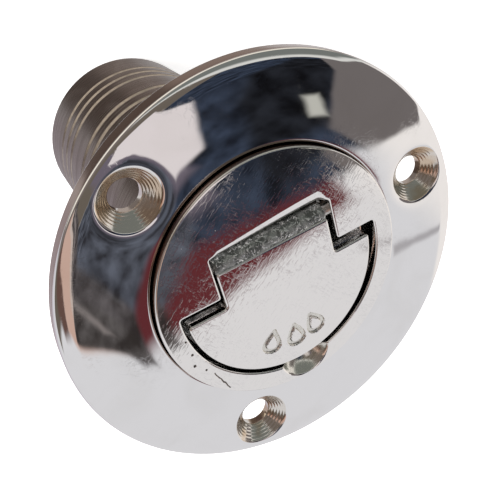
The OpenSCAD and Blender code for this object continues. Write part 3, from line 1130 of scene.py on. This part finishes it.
# The studio round the object, as soft-edged shapes on a map of directions. A direction (x, y, z) lies at
# (x, y) / (1 + z) on the map, so straight up is (0, 0) and the horizon is the circle of radius 1. The shapes
# stand for the room that the real one's mirror faces show. Their places are rounded.
# Each shape is (colour, softness, corners anticlockwise). Later shapes lie over earlier ones.
SKY = (0.76, 0.75, 0.76)
EDGE_WANDER = 0.005
MOTTLED_BELOW = 0.1
STUDIO = [
    # white wall on the right
    ((0.95, 0.9, 0.86), 0.03, ((0.04, -0.36), (0.02, -1.2), (1.4, -1.2), (1.4, 0.2), (0.5, 0.1))),
    # the darkened side, behind the camera
    ((0.15, 0.125, 0.1), 0.02, ((-0.55, 0.03), (0.5, 0.0), (0.9, 0.3), (0.6, 0.6), (-0.6, 0.6))),
    ((0.2, 0.165, 0.15), 0.12, ((-0.55, 0.5), (0.9, 0.25), (1.6, 1.6), (-1.2, 1.6))),
    # what lies below: lavender on the left, brown towards the camera and the right
    ((0.62, 0.57, 0.62), 0.2, ((-1.1, -0.9), (-1.1, 1.2), (-30, 30), (-30, -20))),
    ((0.2, 0.168, 0.153), 0.3, ((-0.6, 1.0), (1.1, -0.6), (30, -14), (30, 30), (-14, 30))),
    ((0.45, 0.39, 0.36), 0.5, ((1.6, 1.4), (1.6, -0.9), (30, -14), (30, 20))),
    # a faint crease in the pale ground
    ((0.45, 0.43, 0.44), 0.003, ((-0.03, -0.425), (0.035, -0.5), (0.04, -0.495), (-0.025, -0.42))),
    # red cloth along the lower edge of the dark ceiling
    ((0.125, 0.027, 0.031), 0.008,
     ((-0.19, -0.3), (0.01, -0.39), (0.02, -0.34), (-0.1, -0.25), (-0.19, -0.27))),
    # dark navy ceiling, in two parts
    ((0.033, 0.04, 0.06), 0.005, ((-0.17, -0.23), (0.03, -0.37), (0.6, -0.16), (0.4, 0.02), (-0.17, 0.02))),
    ((0.08, 0.08, 0.095), 0.006,
     ((-0.17, -0.28), (-0.1, -0.275), (-0.08, -0.26), (-0.08, 0.02), (-0.17, 0.02))),
    # black beam across the ceiling
    ((0.014, 0.014, 0.017), 0.012,
     ((-0.03, -0.32), (0.03, -0.34), (0.3, -0.23), (0.25, -0.16), (0.02, -0.25))),
    # grey-brown wall beyond the beam
    ((0.17, 0.15, 0.145), 0.0035, ((0.03, -0.34), (0.03, -0.37), (0.5, -0.6), (0.6, -0.07))),
    # lamp
    ((0.55, 0.54, 0.48), 0.004, ((0.035, -0.32), (0.045, -0.33), (0.065, -0.31), (0.055, -0.3))),
    # grey-green canopy with a bright edge
    ((0.75, 0.74, 0.7), 0.008, ((0.1, 0.4), (0.2, 0.1), (0.35, -0.25), (0.9, -0.45), (1.2, 0.2), (0.8, 0.7))),
    ((0.19, 0.2, 0.185), 0.02, ((0.15, 0.4), (0.25, 0.1), (0.4, -0.23), (0.9, -0.4), (1.2, 0.2), (0.8, 0.7))),
    # skylight with its purple frame
    ((0.16, 0.135, 0.165), 0.008, ((-0.08, -0.26), (-0.05, -0.27), (-0.02, 0.2), (-0.1, 0.2))),
    ((0.8, 0.73, 0.72), 0.004,
     ((-0.07, -0.25), (-0.03, -0.26), (0.01, -0.21), (0.1, 0.12), (0.0, 0.18), (-0.06, 0.1))),
    # bright strip along the horizon, towards the camera
    ((0.95, 0.88, 0.76), 0.04, ((0.75, 0.65), (1.05, -0.3), (1.6, -0.3), (1.2, 1.1))),
    ((0.95, 0.88, 0.76), 0.04, ((-0.6, 0.95), (0.8, 0.6), (1.2, 1.1), (-0.6, 1.6))),
    # upright bands on the left: brown, orange, cream and dark brown
    ((0.14, 0.08, 0.065), 0.02, ((-0.4, -0.03), (-0.3, -0.12), (-0.3, 0.4), (-0.4, 0.4))),
    ((0.62, 0.42, 0.34), 0.008, ((-0.31, -0.1), (-0.2, -0.28), (-0.2, 0.4), (-0.31, 0.4))),
    ((0.6, 0.5, 0.44), 0.006, ((-0.215, -0.23), (-0.195, -0.25), (-0.195, 0.4), (-0.215, 0.4))),
    ((0.085, 0.07, 0.068), 0.005,
     ((-0.2, -0.3), (-0.19, -0.31), (-0.165, -0.28), (-0.165, 0.4), (-0.2, 0.4))),
    ((0.09, 0.075, 0.07), 0.004, ((-0.235, -0.21), (-0.19, -0.31), (-0.18, -0.28), (-0.19, -0.19))),
    ((0.24, 0.21, 0.2), 0.003, ((-0.2, -0.25), (-0.195, -0.26), (-0.17, 0.3), (-0.18, 0.3))),
]


def make_world():
    """Lights the object from the studio map. The camera itself sees a plain pale backdrop."""
    world = bpy.data.worlds.new("studio")
    bpy.context.scene.world = world
    world.use_nodes = True
    graph = Graph(world.node_tree)
    direction = graph.nodes.new("ShaderNodeTexCoord").outputs["Generated"]
    x, y, z = graph.split("ShaderNodeSeparateXYZ", direction)
    height = graph.math("MAXIMUM", graph.math("ADD", z, 1), 0.05)
    u, v = graph.math("DIVIDE", x, height), graph.math("DIVIDE", y, height)

    # Nothing in a real room has ruler-straight edges or one even shade
    place = graph.nodes.new("ShaderNodeCombineXYZ")
    graph.feed(place, enumerate((u, v)))
    cloud = graph.nodes.new("ShaderNodeTexNoise")
    graph.feed(cloud, (("Scale", 45), ("Detail", 3), ("Vector", place.outputs[0])))
    red, green, blue = graph.split("ShaderNodeSeparateColor", cloud.outputs["Color"])
    u = graph.math("ADD", u, graph.math("MULTIPLY_ADD", red, EDGE_WANDER, -EDGE_WANDER / 2))
    v = graph.math("ADD", v, graph.math("MULTIPLY_ADD", green, EDGE_WANDER, -EDGE_WANDER / 2))
    mottle = graph.range(blue, 0.35, 0.68, 0.0, 0.75, "LINEAR")

    def inside(corners, soft):
        """How far a direction lies inside a shape, from 0 to 1."""
        reach = None
        for (ax, ay), (bx, by) in zip(corners, corners[1:] + corners[:1]):
            run = math.hypot(bx - ax, by - ay)
            nx, ny = (ay - by) / run, (bx - ax) / run
            beyond = graph.math("MULTIPLY_ADD", u, nx, -(nx * ax + ny * ay))
            beyond = graph.math("MULTIPLY_ADD", v, ny, beyond)
            reach = beyond if reach is None else graph.math("MINIMUM", reach, beyond)
        return graph.range(reach, -soft, soft)

    result = (*SKY, 1)
    for tint, soft, corners in STUDIO:
        shade = (*tint, 1)
        if max(tint) < MOTTLED_BELOW:
            shade = graph.mix(mottle, tuple(c * 0.4 for c in tint) + (1,),
                              (tint[0] * 2, tint[1] * 2.2, tint[2] * 2.3, 1))
        result = graph.mix(inside(corners, soft), result, shade)
    seen = graph.nodes.new("ShaderNodeLightPath").outputs["Is Camera Ray"]
    graph.feed(graph.nodes["Background"], (("Color", graph.mix(seen, result, (1, 1, 1, 1))),))


def make_key():
    """A soft light that the object's reflections don't show."""
    data = bpy.data.lights.new("key", "AREA")
    data.size, data.energy = KEY_SIZE, KEY_POWER
    light = add_object("key", data)
    point(light, KEY_AT, (0, 0, 0))
    light.visible_glossy = False


make_camera()
make_floor()
make_world()
make_key()
bpy.context.scene.view_settings.view_transform = "Standard"

casting = make_casting()
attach(casting, "root")
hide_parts("deck_body")

cap = make_cap()
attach(cap, "cap")
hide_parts("cap_body")

grip = make_handle()
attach(grip, "handle")
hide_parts("lift_handle")

for node in ("hinge_pin", "cap_o_ring", "lanyard_screw", "lanyard_washer", "lanyard_tab"):
    data = frame["nodes"][node].data
    data.materials.clear()
    data.materials.append(rubber_finish if node == "cap_o_ring" else small_finish)
